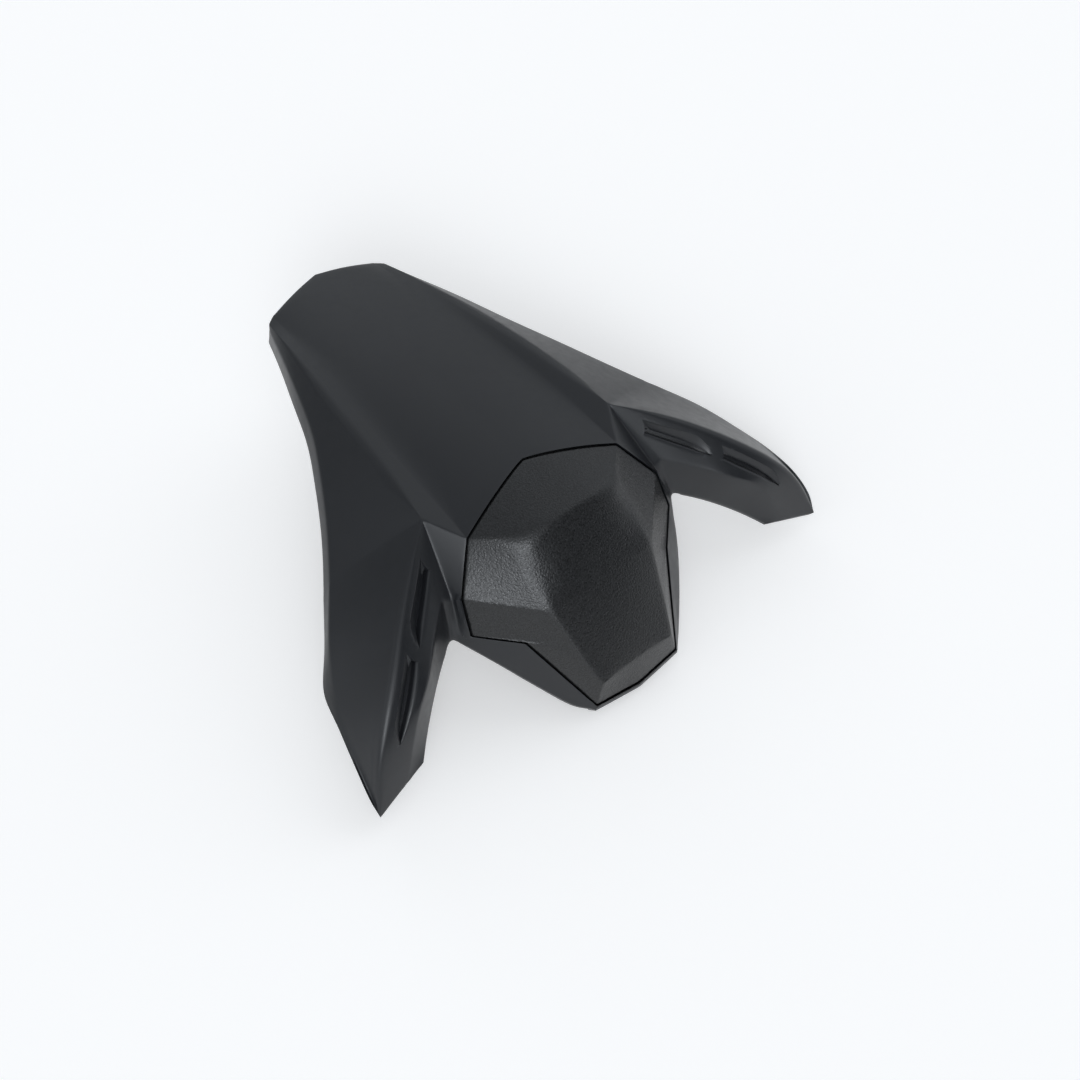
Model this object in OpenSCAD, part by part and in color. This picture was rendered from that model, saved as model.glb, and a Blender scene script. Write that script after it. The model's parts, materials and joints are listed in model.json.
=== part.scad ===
// Seat cowl: the hard cover that takes the place of a motorbike's passenger seat.
// X is across, -Y is towards the rider, Z is up. Points are given from midway between the two
// kinks, where the ridges of the deck turn into the ridges of the wings, and at_home() then
// puts the origin on the lock pin. Half of each outline is given, and the rest is its mirror image.

/* [Overall] */
// Width across the wing tips
span = 360; // [320:5:400]
// Length of the deck, from the kinks back to the apex of the tail
deck_len = 216; // [190:2:240]
// Width between the ridges at the kinks
deck_w = 145; // [138:1:152]
// Width between the corners of the tail
tail_w = 93; // [84:1:102]
// Drop from the kinks to the wing tips
wing_drop = 104; // [92:1:116]
// Reach of the wing tips forward of the kinks
wing_reach = 92; // [84:1:100]
// Reach of the chin forward of the kinks
chin_reach = 118; // [110:1:126]
// Drop from the kinks to the chin
chin_drop = 106; // [98:1:114]

/* [Shell] */
// Wall of the shell
wall = 3; // [2.6:0.1:3.6]
// Rounding of the deck's ridges at mid length
ridge_r = 13; // [6:1:16]
// Rounding of the wings' ridges
wing_ridge_r = 4; // [1:0.5:6]
// Width of the side panel at the kinks
flank_w = 55; // [48:1:62]
// Drop of the side panel at the kinks
flank_drop = 34; // [28:1:40]
// Height of the return lip along the sides
lip_drop = 8; // [5:0.5:11]
// Outward flare of the return lip
lip_flare = 4; // [2:0.5:6]
// Height of the lip round the tail
tail_lip = 15; // [11:1:18]

/* [Insert] */
// Width of the insert's opening at its side corners
pad_w = 155; // [149:1:159]
// Width of the opening at its upper corners
pad_top_w = 117; // [108:1:126]
// Gap between the insert and the shell
pad_gap = 1.2; // [0.8:0.1:1.8]
// Depth of the recess behind the opening's edge
recess_depth = 9; // [7:0.5:12]
// Width of the ledge round the recess
ledge_w = 10; // [8:0.5:13]
// Wall of the insert
insert_wall = 3; // [2.5:0.1:3.5]

/* [Vents] */
// Depth of the blind vent pockets in the wings
vent_depth = 4.5; // [3:0.5:6]
// Width of the slot beside each vent's blade
vent_slot = 2.2; // [1.5:0.1:3]

/* [Base pan] */
// Level of the pan's upper face
pan_z = -17; // [-19:0.5:-15.5]
// Thickness of the pan
pan_t = 3; // [2.5:0.1:4]
// Height of the pan's skirt below its floor
pan_rim = 7; // [5:0.5:9]
// Height of the ribs under the pan
rib_h = 5; // [3:0.5:8]

/* [Fixings] */
// Diameter of the lock pin
pin_d = 10; // [8:0.5:12]
// Length of the lock pin below the pan
pin_len = 30; // [24:1:36]
// Thread of the lock pin
stud_d = 8; // [6:1:10]
// Distance of the lock pin behind the kinks
pin_y = 62; // [56:1:70]
// Diameter of the rubber buffers
buffer_d = 20; // [16:1:24]
// Height of the rubber buffers
buffer_h = 12; // [9:1:16]
// Width of the rear tongue
tongue_w = 44; // [36:2:50]
// Thickness of the rear tongue
tongue_t = 2.5; // [2:0.5:3.5]
// Thread of the tongue's bolts
bolt_d = 5; // [4:1:6]
// Thread of the self-tapping screws
screw_d = 3; // [2.5:0.1:3.5]
// Thickness of the foam pads inside the wings
foam_t = 4; // [3:0.5:6]

/* [Hidden] */
$fn = 32;
clear = 0.1;

// Plain vector help
function mix(a, b, t) = a + (b - a) * t;
function mix3(a, b, f) = [for (i = [0:2]) a[i] + (b[i] - a[i]) * f[i]];
function unit(v) = v / max(norm(v), 1e-9);
function ramp(x, lo, hi) = let (t = min(1, max(0, (x - lo) / (hi - lo)))) t * t * (3 - 2 * t);
function arc(a, b, c, t) = mix(mix(a, b, t), mix(b, c, t), t);
function hump(a, c, lift, t) = mix(a, c, t) + 4 * t * (1 - t) * lift;

// A smooth curve through a list of points, at t from 0 to 1
function spline(p, t) =
    let (
        n = len(p) - 1,
        i = min(n - 1, floor(t * n)),
        s = t * n - i,
        b = p[i],
        c = p[i + 1],
        a = i > 0 ? p[i - 1] : 2 * b - c,
        d = i < n - 1 ? p[i + 2] : 2 * c - b,
        q = s * s,
        r = q * s
    )
    0.5 * (2 * b + (c - a) * s + (2 * a - 5 * b + 4 * c - d) * q + (3 * b - a - 3 * c + d) * r);

// Corners of the right half
kink = [deck_w / 2, 0, 0];
tail_apex = [0, deck_len, -1];
tail_corner = [tail_w / 2, deck_len - 13, -9];
pad_apex = [0, -3.6, 5.3];
pad_upper = [pad_top_w / 2, -24, -5.6];
pad_side = [pad_w / 2, -41.6, -31];
pad_lower = pad_side + [2.6, -11.2, -23.5];
pad_turn = [pad_w * 0.37, -76, -57];
pad_foot = [33, 2.5 - chin_reach, 3 - chin_drop];
pad_base = [0, -chin_reach, -chin_drop];
cheek_mid = pad_side + [2.6, 6.3, -2.4];
cheek_out = pad_side + [9.2, 6.6, 0];
crotch = pad_side + [10.9, -3.2, -25.4];
tip = [span / 2, -wing_reach, -wing_drop];
wing_heel = tip + [-38.6, 8, 11];
wing_end = mix(wing_heel, tip, 0.38);
flank = kink + [flank_w, 22, -flank_drop];

// Curves of the wing, each from the kink's section at 0 to the wing's end at 1
function wing_low(t) = hump(crotch, wing_heel, [0, 2, 3.5], t);
function wing_crease(t) = spline([
    cheek_out,
    mix3(cheek_out, wing_end, [0.25, 0.29, 0.11]),
    mix3(cheek_out, wing_end, [0.50, 0.60, 0.235]),
    mix3(cheek_out, wing_end, [0.74, 0.80, 0.43]),
    wing_end
], t);
function wing_ridge(t) = spline([for (f = [
    [0, 0, 0], [0.17, 0.16, 0.065], [0.34, 0.325, 0.15], [0.49, 0.48, 0.245], [0.63, 0.625, 0.352],
    [0.76, 0.745, 0.475], [0.87, 0.85, 0.62], [0.95, 0.93, 0.80], [1, 1, 1]]) mix3(kink, tip, f)], t);
function wing_outer(t) = spline([for (f = [
    [0, 0, 0], [0.40, 0.23, 0.19], [0.68, 0.45, 0.38], [0.87, 0.68, 0.545], [0.965, 0.87, 0.745], [1, 1, 1]])
    mix3(flank, tip, f)], t);
function wing_edge(t) = spline([for (f = [
    [0, 0, 0], [0.38, 0.22, 0.20], [0.72, 0.39, 0.40], [0.86, 0.60, 0.46], [0.97, 0.80, 0.60], [1.02, 0.93, 0.80],
    [1, 1, 1]]) mix3(flank + lip_at(1), tip, f)], t);

// Curves of the deck, each from the tail at 0 to the kink's section at 1. The valley is the soft
// hollow beside each ridge, which runs out into the upper corner of the insert's opening.
function lip_at(t) = mix([1, 2, 3 - tail_lip], [lip_flare, 2, -lip_drop], ramp(t, 0, 0.35));
function deck_crown(t) = hump(tail_apex, pad_apex, [0, 0, 4], t);
tail_valley = mix(tail_apex, tail_corner, 0.9) + [-0.5, 2.2, 0.4];
function deck_valley(t) = hump(tail_valley, pad_upper, [0, 2, 8], t);
function deck_ridge(t) = hump(tail_corner, kink, [1.8, -1, 8], t);
function deck_flank(t) = spline([for (f = [
    [0, 0, 0], [0.20, 0.28, -0.12], [0.38, 0.52, -0.05], [0.58, 0.70, 0.21], [0.78, 0.855, 0.56], [1, 1, 1]])
    mix3(tail_corner + [2, -3, -2], flank, f)], t);

// Points along a straight leg without its start, and round a corner between two legs
function more(a, b, n) = [for (i = [1:n]) mix(a, b, i / n)];
function toward(a, b, r) = a + unit(b - a) * r;
function round_off(a, corner, b, r, n) = [
    for (k = [1:n]) arc(toward(corner, a, r), corner, toward(corner, b, r), k / n)];

// Sections, from the crown or the wing's lower edge outwards. The radii fall to nothing at the
// kink, where the ridges meet.
n_deck = 17;
n_wing = 15;
n_crown = 4;
n_valley = 3;
n_band = 2;
n_ridge = 4;
n_flank = 4;
n_lip = 2;
n_low = 3;
n_face = 4;
function swell(t) = ramp(t, 0, 0.4) * (1 - ramp(t, 0.8, 1));
function deck_section(t) =
    let (
        a = deck_crown(t),
        v = deck_valley(t),
        k = deck_ridge(t),
        f = deck_flank(t),
        r = ridge_r * 0.5 * swell(t),
        v1 = toward(v, a, r),
        v2 = toward(v, k, r * 0.6),
        k1 = toward(k, v, r * 0.6),
        bow = [0, 0, (a[2] - v[2]) / 4]
    )
    concat(
        [for (i = [0:n_crown]) hump(a, v1, bow, i / n_crown)],
        [for (i = [1:n_valley]) arc(v1, v, v2, i / n_valley)],
        more(v2, k1, n_band),
        [for (i = [1:n_ridge]) arc(k1, k, toward(k, f, r), i / n_ridge)],
        more(toward(k, f, r), f, n_flank),
        more(f, f + lip_at(t), n_lip)
    );
function wing_section(t) =
    let (
        c = wing_crease(t),
        k = wing_ridge(t),
        f = wing_outer(t),
        r = wing_ridge_r * ramp(t, 0, 0.2) * (1 - ramp(t, 0.9, 1))
    )
    concat(
        [wing_low(t)],
        more(wing_low(t), c, n_low),
        more(c, toward(k, c, r), n_face),
        round_off(c, k, f, r, n_ridge),
        more(toward(k, f, r), f, n_flank),
        more(f, wing_edge(t), n_lip)
    );
deck_grid = [for (i = [0:n_deck]) deck_section(i / n_deck)];
wing_grid = [for (i = [0:n_wing]) wing_section(1 - pow(1 - i / n_wing, 1.25))];
deck_front = deck_grid[n_deck];
tail_edge = deck_grid[0];
i_upper = n_crown;
i_kink = n_crown + n_valley + n_band;
i_flank = i_kink + n_ridge;

// Cheek facets between the kink, the opening's side and the root of the wing
n_step = 3;
cheek_a = [for (i = [0:n_face]) let (t = i / n_face)
    concat([mix(kink, cheek_mid, t)], more(mix(kink, cheek_mid, t), mix(pad_upper, pad_side, t), n_band))];
cheek_b = [for (i = [0:n_face]) let (t = i / n_face)
    concat([mix(kink, cheek_out, t)], more(mix(kink, cheek_out, t), mix(kink, cheek_mid, t), n_step))];
cheek_top = concat(cheek_b[n_face], more(cheek_mid, pad_side, n_band));
n_cheek = len(cheek_top) - 1;
cheek_c = [for (i = [0:n_low]) let (t = i / n_low)
    [for (j = [0:n_cheek]) mix(cheek_top[j], mix(crotch, pad_lower, j / n_cheek), t)]];

// Chin below the opening, down to its free edge
n_turn = 4;
n_foot = 8;
n_base = 4;
opening_low = concat(
    [pad_lower],
    more(pad_lower, pad_turn, n_turn),
    more(pad_turn, pad_foot, n_foot),
    more(pad_foot, pad_base, n_base));
chin_foot = pad_foot + [1.5, 0.5, -2.5];
chin_side = [crotch, mix3(crotch, chin_foot, [0.29, 0.36, 0.29]), mix3(crotch, chin_foot, [0.56, 0.635, 0.62]),
    mix3(crotch, chin_foot, [0.82, 0.86, 0.935]), chin_foot];
chin_base = pad_base + [0, 0.8, -3];
chin_edge = concat(
    [for (i = [0:n_turn + n_foot]) spline(chin_side, i / (n_turn + n_foot))],
    more(chin_foot, chin_base, n_base));
chin_grid = [for (i = [0:len(chin_edge) - 1])
    concat([opening_low[i]], more(opening_low[i], chin_edge[i], n_cheek))];

// Lip round the tail, which turns into the side lip at the tail's corner
n_drop = n_flank + n_lip;
tail_grid = [for (i = [0:n_drop]) [for (j = [0:i_kink])
    let (w = pow(j / i_kink, 3), side = tail_edge[i_flank + i] - tail_edge[i_flank])
    tail_edge[j] + mix([0, 1.5, -tail_lip] * i / n_drop, side, w)]];

// A skin: outer facets, the same facets one wall further in, and rims along the free edges
function inward(p) =
    let (
        back = ramp(p[1], 0, 90),
        x = -0.4 * back * p[0] / 50 - 0.5 * (1 - back) * ramp(p[0], 125, 180),
        y = 0.6 * (1 - ramp(p[1], 0, 90)) - 0.65 * ramp(p[1], 120, deck_len)
    )
    unit([x, y, -0.8]);
function inner(p, depth = wall * 1.15) = p + inward(p) * depth;
function same(a, b) = norm(a - b) < 0.001;
function facet(a, b, c) = same(a, b) || same(b, c) || same(a, c) ? [] : [[a, b, c]];
function quad(a, b, c, d) = concat(facet(a, b, c), facet(a, c, d));
function sheet(g) = [for (i = [0:len(g) - 2]) for (j = [0:len(g[0]) - 2])
    each quad(g[i][j], g[i][j + 1], g[i + 1][j + 1], g[i + 1][j])];
function turned(t) = [for (f = t) [f[0], f[2], f[1]]];
function mirrored(t) = [for (f = t) [for (p = [f[0], f[2], f[1]]) [-p[0], p[1], p[2]]]];
function inside(t) = [for (f = t) [for (p = [f[0], f[2], f[1]]) inner(p)]];
function rim(e) = [for (i = [0:len(e) - 2]) each quad(e[i], e[i + 1], inner(e[i + 1]), inner(e[i]))];
function column(g, j) = [for (row = g) row[j]];
function last(v) = v[len(v) - 1];
module solid(t) {
    polyhedron(points = [for (f = t) each f], faces = [for (i = [0:len(t) - 1]) [3 * i, 3 * i + 1, 3 * i + 2]]);
}

opening = concat(
    [for (j = [0:i_upper]) deck_front[j]],
    more(pad_upper, pad_side, n_face),
    more(pad_side, pad_lower, n_low),
    [for (i = [1:len(opening_low) - 1]) opening_low[i]]);
outer_half = concat(
    sheet(deck_grid),
    sheet(wing_grid),
    turned(sheet(cheek_a)),
    turned(sheet(cheek_b)),
    turned(sheet(cheek_c)),
    sheet(chin_grid),
    turned(sheet(tail_grid)));
rim_half = concat(
    turned(rim(column(deck_grid, len(deck_front) - 1))),
    turned(rim(column(wing_grid, len(wing_grid[0]) - 1))),
    rim(column(wing_grid, 0)),
    rim(last(wing_grid)),
    rim(opening),
    turned(rim(chin_edge)),
    turned(rim(last(tail_grid))));
skin_half = concat(outer_half, inside(outer_half), rim_half);

// The recess behind the opening runs along the insert's own axis, which leans back by this angle
recess_tilt = 45;
axis = [0, sin(recess_tilt), -cos(recess_tilt)];
pad_heart = [0, -65, -55];
function inset(p, r) = p + unit(pad_heart - p) * r;
function both(v) = concat(v, [for (i = [len(v) - 2:-1:1]) [-v[i][0], v[i][1], v[i][2]]]);
function ring_strip(a, b) = [for (i = [0:len(a) - 1]) let (k = (i + 1) % len(a)) each quad(a[i], a[k], b[k], b[i])];
loop = both(opening);
recess_rings = [
    loop,
    [for (p = loop) p + axis * recess_depth],
    [for (p = loop) inset(p, ledge_w) + axis * recess_depth],
    [for (p = loop) inset(p, ledge_w) + axis * (recess_depth + wall)],
    [for (p = loop) inset(p, -wall) + axis * (recess_depth + wall)],
    [for (p = loop) inset(inner(p, wall), -0.8 * wall)]
];
recess = [for (i = [0:5]) each ring_strip(recess_rings[i], recess_rings[(i + 1) % 6])];

// Screw places: on the ledge for the insert, and under the deck for the base pan
insert_seat = pad_gap + insert_wall + 2.4;
insert_points = [for (p = [deck_front[2], mix(pad_upper, pad_side, 0.6), mix(pad_turn, pad_foot, 0.6)])
    inset(p, insert_seat) + axis * recess_depth];
pan_points = [[deck_w * 0.21, 30], [deck_w * 0.41, deck_len * 0.37], [deck_w * 0.33, deck_len * 0.54],
    [tail_w * 0.37, deck_len - 40]];
post_d = screw_d + 4;
boss_d = screw_d + 5;
head_d = screw_d * 2;
head_h = screw_d * 0.75;
function deck_z(p) = let (s = deck_section(1 - p[1] / deck_len)) lookup(p[0], [for (q = s) [q[0], q[2]]]);

// Vents in the front face of the wings: the outline of each pocket, from its start round to its
// start, and the direction in which the face looks
vent_face = unit([-0.28, -0.80, 0.53]);
vent_near = [[84, -18, -7.5], [110, -37.5, -22.8], [116, -52.3, -34], [106, -43.5, -30], [85, -24.5, -18]];
vent_far = [[122.3, -51.5, -28.3], [147, -69.5, -49], [152.8, -81, -64.2], [144, -73, -52], [125, -59.5, -38.5]];
module slab(points, up, down) {
    hull() {
        for (p = points) {
            translate(p + vent_face * up) cube(0.02, center = true);
            translate(p - vent_face * down) cube(0.02, center = true);
        }
    }
}
function spread(points, r) = let (m = (points[0] + points[2] + points[4]) / 3) [for (p = points) p + unit(p - m) * r];
function blade(v) = [
    mix(v[0], v[4], 0.35) + unit(v[1] - v[0]) * 4, mix(v[1], v[3], 0.35), mix(v[2], v[3], 0.25),
    v[3] + unit(v[1] - v[3]) * vent_slot, v[4] + unit(v[0] - v[4]) * vent_slot + unit(v[3] - v[4]) * 3];

// The blade's top leans towards the ridge
module blade_solid(b) {
    hull() {
        for (i = [0:4]) {
            translate(b[i] - vent_face * vent_depth * (i < 3 ? 0.45 : 0.15)) cube(0.02, center = true);
            translate(b[i] - vent_face * (vent_depth + 0.5)) cube(0.02, center = true);
        }
    }
}

module at_home() {
    translate([0, -pin_y, pin_len * 0.34 + rib_h + pan_t + 0.1 - pan_z]) children();
}
module mirror_copy() {
    children();
    mirror([1, 0, 0]) children();
}
module along_axis(p) {
    translate(p) rotate([recess_tilt, 0, 0]) children();
}

module shell_bosses() {
    for (p = pan_points) {
        translate([p[0], p[1], pan_z]) cylinder(d = boss_d, h = deck_z(p) - pan_z - wall * 0.7, $fn = 16);
    }
    for (p = insert_points) {
        along_axis(p) translate([0, 0, -wall - 0.6]) cylinder(d = head_d + 1.5, h = wall, $fn = 16);
    }
}
module shell_pilots() {
    for (p = pan_points) {
        translate([p[0], p[1], pan_z - 1]) cylinder(d = screw_d + clear, h = 11, $fn = 16);
    }
}
module ledge_holes() {
    for (p = insert_points) {
        along_axis(p) translate([0, 0, -wall - 2]) cylinder(d = screw_d + 0.4, h = wall + 3, $fn = 16);
    }
}

module cowl_shell() {
    color("#26282b") at_home() difference() {
        union() {
            solid(concat(skin_half, mirrored(skin_half)));
            solid(recess);
            mirror_copy() {
                for (v = [vent_near, vent_far]) {
                    slab(spread(v, wall * 0.7), -wall * 0.4, vent_depth + wall * 0.7);
                }
                shell_bosses();
            }
        }
        mirror_copy() {
            for (v = [vent_near, vent_far]) {
                slab(v, 4, vent_depth);
            }
            shell_pilots();
            ledge_holes();
        }
    }
    color("#26282b") at_home() mirror_copy() {
        for (v = [vent_near, vent_far]) {
            blade_solid(blade(v));
        }
    }
}

// The insert: facets round a dished middle, with a wall round the edge that stands on the ledge
n_inset = 3;
dish_top = [35, -48, -1.5];
dish_top_mid = [0, -45.5, -6.5];
dish_low = [39.6, -79.2, -37];
dish_foot = [28.8, -114.2, -84.5];
dish_foot_mid = [0, -114, -89];
pad_rim = [for (p = opening) inset(p, pad_gap * 1.1)];
n_opening = len(opening) - 1;
n_bend = n_opening - n_crown - n_face - n_base;
crest = [for (i = [0:n_crown]) hump(dish_top_mid, dish_top, [0, 0, 0.3], i / n_crown)];
dish_side = concat(
    [dish_top], more(dish_top, dish_low, n_face),
    more(dish_low, dish_foot, n_bend));
dish_end = [for (i = [0:n_base]) mix(dish_foot, dish_foot_mid, i / n_base)];
n_dish = len(dish_side) - 1;
rim_inside = concat(crest, more(dish_top, dish_low, n_face), more(dish_low, dish_foot, n_bend),
    more(dish_foot, dish_foot_mid, n_base));
facing = [for (i = [0:n_opening]) concat([pad_rim[i]], more(pad_rim[i], rim_inside[i], n_inset))];
dish = [for (i = [0:n_dish]) let (m = mix(dish_top_mid, dish_foot_mid, i / n_dish), t = i / n_dish)
    [for (j = [0:n_crown]) let (s = j / n_crown)
        i == 0 ? crest[j] : mix(m, dish_side[i], s) + axis * 9 * t * (1 - t) * (1 - s * s)]];
insert_half = concat(turned(sheet(facing)), sheet(dish));
foot_depth = recess_depth - 0.3;
function under(p) = inset(p, insert_wall * 0.9) + axis * insert_wall;
insert_back = [for (f = insert_half) [for (p = [f[0], f[2], f[1]]) under(p)]];
function strip(a, b) = [for (i = [0:len(a) - 2]) each quad(a[i], b[i], b[i + 1], a[i + 1])];
insert_foot = [for (p = pad_rim) p + axis * foot_depth];
insert_heel = [for (p = pad_rim) inset(p, insert_wall * 0.9) + axis * foot_depth];
insert_walls = concat(
    strip(pad_rim, insert_foot),
    strip(insert_foot, insert_heel),
    strip(insert_heel, [for (p = pad_rim) under(p)]));
insert_all = concat(insert_half, insert_back, insert_walls);

module backrest_insert() {
    color("#1c1c1d") at_home() difference() {
        union() {
            solid(concat(insert_all, mirrored(insert_all)));
            mirror_copy() for (p = insert_points) {
                along_axis(p) translate([0, 0, 0.9]) cylinder(d = post_d, h = recess_depth - insert_wall + 0.6);
            }
        }
        mirror_copy() for (p = insert_points) {
            along_axis(p) translate([0, 0, 0.8]) cylinder(d = screw_d + clear, h = 5);
        }
    }
}

// Base pan: a plate under the deck, with a skirt, ribs and seats for what it carries
pan_floor = pan_z - pan_t;
pan_front = 20;
pan_back = deck_len - 26;
skirt_t = 2.5;
rib_t = 2.5;
buffer_points = [[deck_w * 0.43, pin_y - 16], [tail_w * 0.48, deck_len - 74]];
tongue_y = deck_len - 70;
bolt_x = tongue_w * 0.28;
bolt_y = tongue_y + 13;
function side_at(t) = let (s = deck_section(t), n = len(s) - 1)
    [lookup(pan_z, [for (j = [i_kink:n]) [s[j][2], s[j][0]]]), lookup(pan_z, [for (j = [i_kink:n]) [s[j][2], s[j][1]]])];
function pan_half(r) = concat(
    [[side_at(0.95)[0] - wall - 3.4 - r, pan_front + r]],
    [for (t = [0.85:-0.1:0.15]) side_at(t) - [wall + 3.4 + r, 0]],
    [[side_at(0.05)[0] - wall - 3.4 - r, pan_back - r]]);
function pan_outline(r) = let (h = pan_half(r)) concat(h, [for (i = [len(h) - 1:-1:0]) [-h[i][0], h[i][1]]]);
module pan_shape(r, z, h) {
    translate([0, 0, z]) linear_extrude(h) polygon(pan_outline(r));
}
module pan_ribs() {
    for (x = [-1, 1] * (tongue_w / 2 + 2)) {
        translate([x - rib_t / 2, 0, pan_floor - rib_h]) cube([rib_t, deck_len, rib_h + 1]);
    }
    for (y = [pin_y, mix(pin_y, tongue_y, 0.45), mix(pin_y, tongue_y, 0.8)]) {
        translate([-span / 2, y - rib_t / 2, pan_floor - rib_h]) cube([span, rib_t, rib_h + 1]);
    }
}
module at_both(points) {
    for (p = points, s = [-1, 1]) {
        translate([s * p[0], p[1], 0]) children();
    }
}

module base_pan() {
    color("#1f2022") at_home() difference() {
        union() {
            pan_shape(0, pan_floor, pan_t);
            difference() {
                pan_shape(0, pan_floor - pan_rim, pan_rim + 1);
                pan_shape(skirt_t, pan_floor - pan_rim - 1, pan_rim + 3);
            }
            intersection() {
                pan_shape(1, pan_floor - rib_h, rib_h + 1);
                pan_ribs();
            }
            translate([0, pin_y, pan_floor - rib_h]) cylinder(d = pin_d + 18, h = rib_h + 1);
        }
        translate([0, pin_y, pan_floor - rib_h - 1]) cylinder(d = stud_d + 0.4, h = rib_h + pan_t + 2);
        at_both([[bolt_x, bolt_y]]) translate([0, 0, pan_floor - 1]) cylinder(d = bolt_d + 0.4, h = pan_t + 2);
        at_both(pan_points) translate([0, 0, pan_floor - 1]) cylinder(d = screw_d + 0.4, h = pan_t + 2);
        at_both(buffer_points) {
            translate([0, 0, pan_floor - 1]) cylinder(d = buffer_d * 0.4, h = pan_t + 2);
            translate([0, 0, pan_floor - rib_h - 1]) cylinder(d = buffer_d + 2, h = rib_h + 1);
        }
        at_both(pan_points) translate([0, 0, pan_floor - rib_h - 1]) cylinder(d = head_d + 3, h = rib_h + 1);
    }
}

// Lock pin with its groove, held by a washer and a nut on the pan's upper face
pin_top = pan_floor - rib_h - 0.1;
washer_t = stud_d * 0.2;
nut_h = stud_d * 0.8;
module lock_pin() {
    color("#b9bcc0") at_home() translate([0, pin_y, pin_top]) rotate_extrude() polygon([
        [0, -pin_len], [pin_d / 2 - 2, -pin_len], [pin_d / 2, -pin_len + 3], [pin_d / 2, -pin_len + 7],
        [pin_d / 2 - 1.8, -pin_len + 8.5], [pin_d / 2 - 1.8, -pin_len * 0.56], [pin_d / 2, -pin_len * 0.52],
        [pin_d / 2, -5], [pin_d / 2 + 5, -4], [pin_d / 2 + 5, 0], [stud_d / 2, 0],
        [stud_d / 2, rib_h + pan_t + washer_t + nut_h + 1], [stud_d / 2 - 1, rib_h + pan_t + washer_t + nut_h + 2],
        [0, rib_h + pan_t + washer_t + nut_h + 2]]);
}
module lock_pin_washer() {
    color("#b9bcc0") at_home() translate([0, pin_y, pan_z + 0.1]) difference() {
        cylinder(d = stud_d * 2.1, h = washer_t);
        translate([0, 0, -1]) cylinder(d = stud_d + 0.4, h = washer_t + 2);
    }
}
module hex_nut(d, h) {
    difference() {
        intersection() {
            cylinder(d = d * 1.88, h = h, $fn = 6);
            cylinder(d1 = d * 1.88 + 2 * h - d * 0.2, d2 = d * 1.88 - d * 0.2, h = h);
        }
        translate([0, 0, -1]) cylinder(d = d + clear, h = h + 2);
    }
}
module lock_pin_nut() {
    color("#b9bcc0") at_home() translate([0, pin_y, pan_z + washer_t + 0.2]) hex_nut(stud_d, nut_h);
}

// Rear tongue: a cranked plate below the pan, which reaches back under the skirt
tongue_end = deck_len - 2;
tongue_low = pan_rim + 3;
tongue_top = pan_floor - 0.1;
module rear_tongue() {
    color("#8d9196") at_home() difference() {
        translate([-tongue_w / 2, 0, tongue_top]) rotate([90, 0, 90]) linear_extrude(tongue_w) polygon([
            [tongue_y, 0], [tongue_y + 26, 0], [tongue_y + 26 + tongue_low, -tongue_low], [tongue_end, -tongue_low],
            [tongue_end, -tongue_low - tongue_t], [tongue_y + 25 + tongue_low, -tongue_low - tongue_t],
            [tongue_y + 25, -tongue_t], [tongue_y, -tongue_t]]);
        at_both([[bolt_x, bolt_y]]) translate([0, 0, pan_floor - 10]) cylinder(d = bolt_d + 0.4, h = 11);
        at_both([[tongue_w / 2, tongue_end]]) translate([0, 0, pan_floor - 24]) rotate(45) cube([10, 10, 30], center = true);
    }
}
module tongue_bolts() {
    color("#a8abb0") at_home() at_both([[bolt_x, bolt_y]]) translate([0, 0, tongue_top - tongue_t - 0.1]) difference() {
        union() {
            cylinder(d = bolt_d, h = tongue_t + pan_t + bolt_d * 0.8 + 1.5);
            translate([0, 0, -bolt_d * 0.7]) cylinder(d = bolt_d * 1.7, h = bolt_d * 0.7);
        }
        translate([0, 0, -bolt_d * 0.7 - 1]) cylinder(d = bolt_d * 0.9, h = bolt_d * 0.35 + 1, $fn = 6);
    }
}
module tongue_nuts() {
    color("#a8abb0") at_home() at_both([[bolt_x, bolt_y]]) translate([0, 0, pan_z + 0.1]) hex_nut(bolt_d, bolt_d * 0.8);
}

// Rubber buffers, each pressed into the pan by a stem with a button
module rubber(p) {
    color("#151515") at_home() translate([p[0], p[1], pan_floor - 0.1]) rotate_extrude() polygon([
        [0, -buffer_h], [buffer_d / 2 - 2, -buffer_h], [buffer_d / 2, -buffer_h + 2], [buffer_d / 2 - 0.6, 0],
        [buffer_d * 0.18, 0], [buffer_d * 0.18, pan_t + 0.3], [buffer_d * 0.27, pan_t + 0.3],
        [buffer_d * 0.16, pan_t + 3.3], [0, pan_t + 3.3]]);
}
module buffer_front_left() {
    rubber([-buffer_points[0][0], buffer_points[0][1]]);
}
module buffer_front_right() {
    rubber(buffer_points[0]);
}
module buffer_rear_left() {
    rubber([-buffer_points[1][0], buffer_points[1][1]]);
}
module buffer_rear_right() {
    rubber(buffer_points[1]);
}

// Foam pads under the outer panels of the wings, which follow the panels at a small distance
pad_near = wall * 1.15 + 0.4;
pad_far = pad_near + foam_t * 1.3;
wing_patch = [for (i = [3:9]) [for (j = [12:15]) wing_grid[i][j]]];
pad_up = [for (r = wing_patch) [for (p = r) inner(p, pad_near)]];
pad_down = [for (r = wing_patch) [for (p = r) inner(p, pad_far)]];
foam = concat(
    sheet(pad_up),
    turned(sheet(pad_down)),
    turned(strip(column(pad_up, 0), column(pad_down, 0))),
    turned(strip(last(pad_up), last(pad_down))),
    strip(column(pad_up, 3), column(pad_down, 3)),
    strip(pad_up[0], pad_down[0]));
module wing_pad_right() {
    color("#2b2b2b") at_home() solid(foam);
}
module wing_pad_left() {
    color("#2b2b2b") at_home() solid(mirrored(foam));
}

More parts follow.
